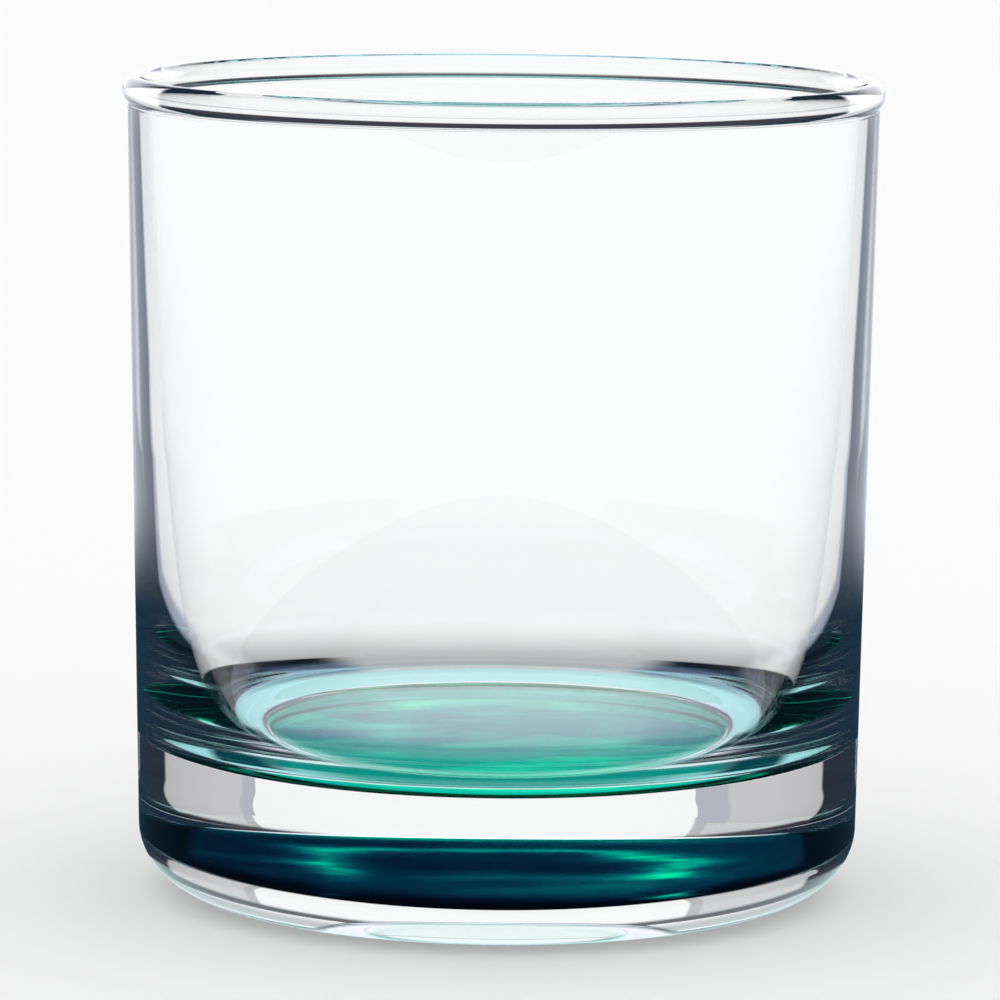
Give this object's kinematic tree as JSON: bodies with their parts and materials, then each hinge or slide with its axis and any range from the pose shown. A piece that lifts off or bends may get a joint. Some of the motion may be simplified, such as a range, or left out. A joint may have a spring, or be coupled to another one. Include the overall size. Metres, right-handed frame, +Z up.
{
  "type": "whisky tumbler",
  "caption": "Straight-sided lowball drinking glass with a beaded rim, a heavy clear base and a recess underneath coloured by a translucent green film.",
  "frame": {"origin": "middle of the foot ring, on the surface that the glass stands on", "axes": "+Z up along the axis of the glass, out of its mouth; +X and +Y are free, because the glass is round"},
  "size_m": [0.082, 0.082, 0.0885],
  "materials": {
    "clear_glass": "fire-polished clear soda-lime glass, smooth and glossy, with a slight flow unevenness in the cavity floor",
    "green_film": "translucent emerald lacquer, brushed thick and thin in feathery swirls, glossy where it meets the glass"
  },
  "bodies": {
    "root": {"tumbler_body": "clear_glass", "green_base_film": "green_film"}
  },
  "joints": []
}
